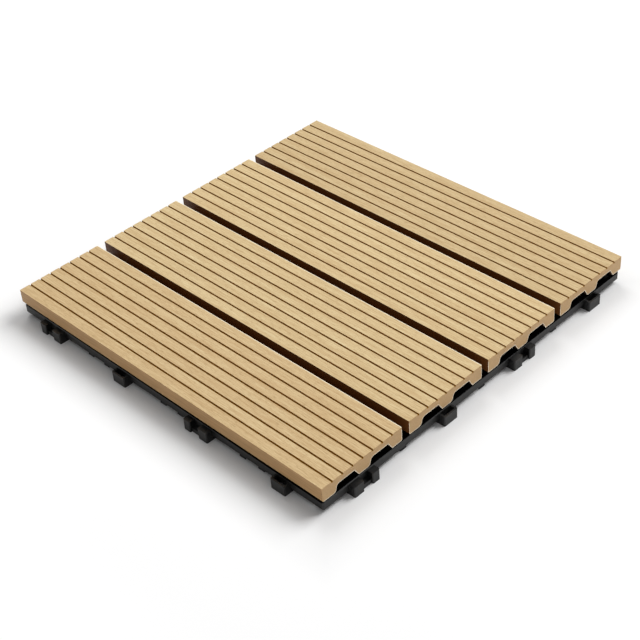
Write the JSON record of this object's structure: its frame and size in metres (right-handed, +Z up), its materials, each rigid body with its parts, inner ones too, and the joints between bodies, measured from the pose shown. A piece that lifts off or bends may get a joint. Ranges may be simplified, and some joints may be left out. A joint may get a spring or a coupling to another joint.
{
  "type": "interlocking deck tile",
  "caption": "Square floor tile of parallel grooved composite slats screwed to a moulded open grid base, with clips and loops along all sides that link it to its neighbours.",
  "frame": {"origin": "centre of the tile on the ground plane under its feet", "axes": "+X along the slats, +Y across the slats, +Z up to the walking surface"},
  "size_m": [0.3084, 0.3084, 0.0224],
  "materials": {
    "base_plastic": "injection-moulded polypropylene, near black, satin",
    "slat_composite": "extruded wood-plastic composite, light teak brown, grooved and brushed",
    "screw_steel": "zinc-plated steel"
  },
  "bodies": {
    "root": {"base_grid": "base_plastic", "slat_1": "slat_composite", "slat_2": "slat_composite", "slat_3": "slat_composite", "slat_4": "slat_composite", "slat_screws": "screw_steel"}
  },
  "joints": []
}
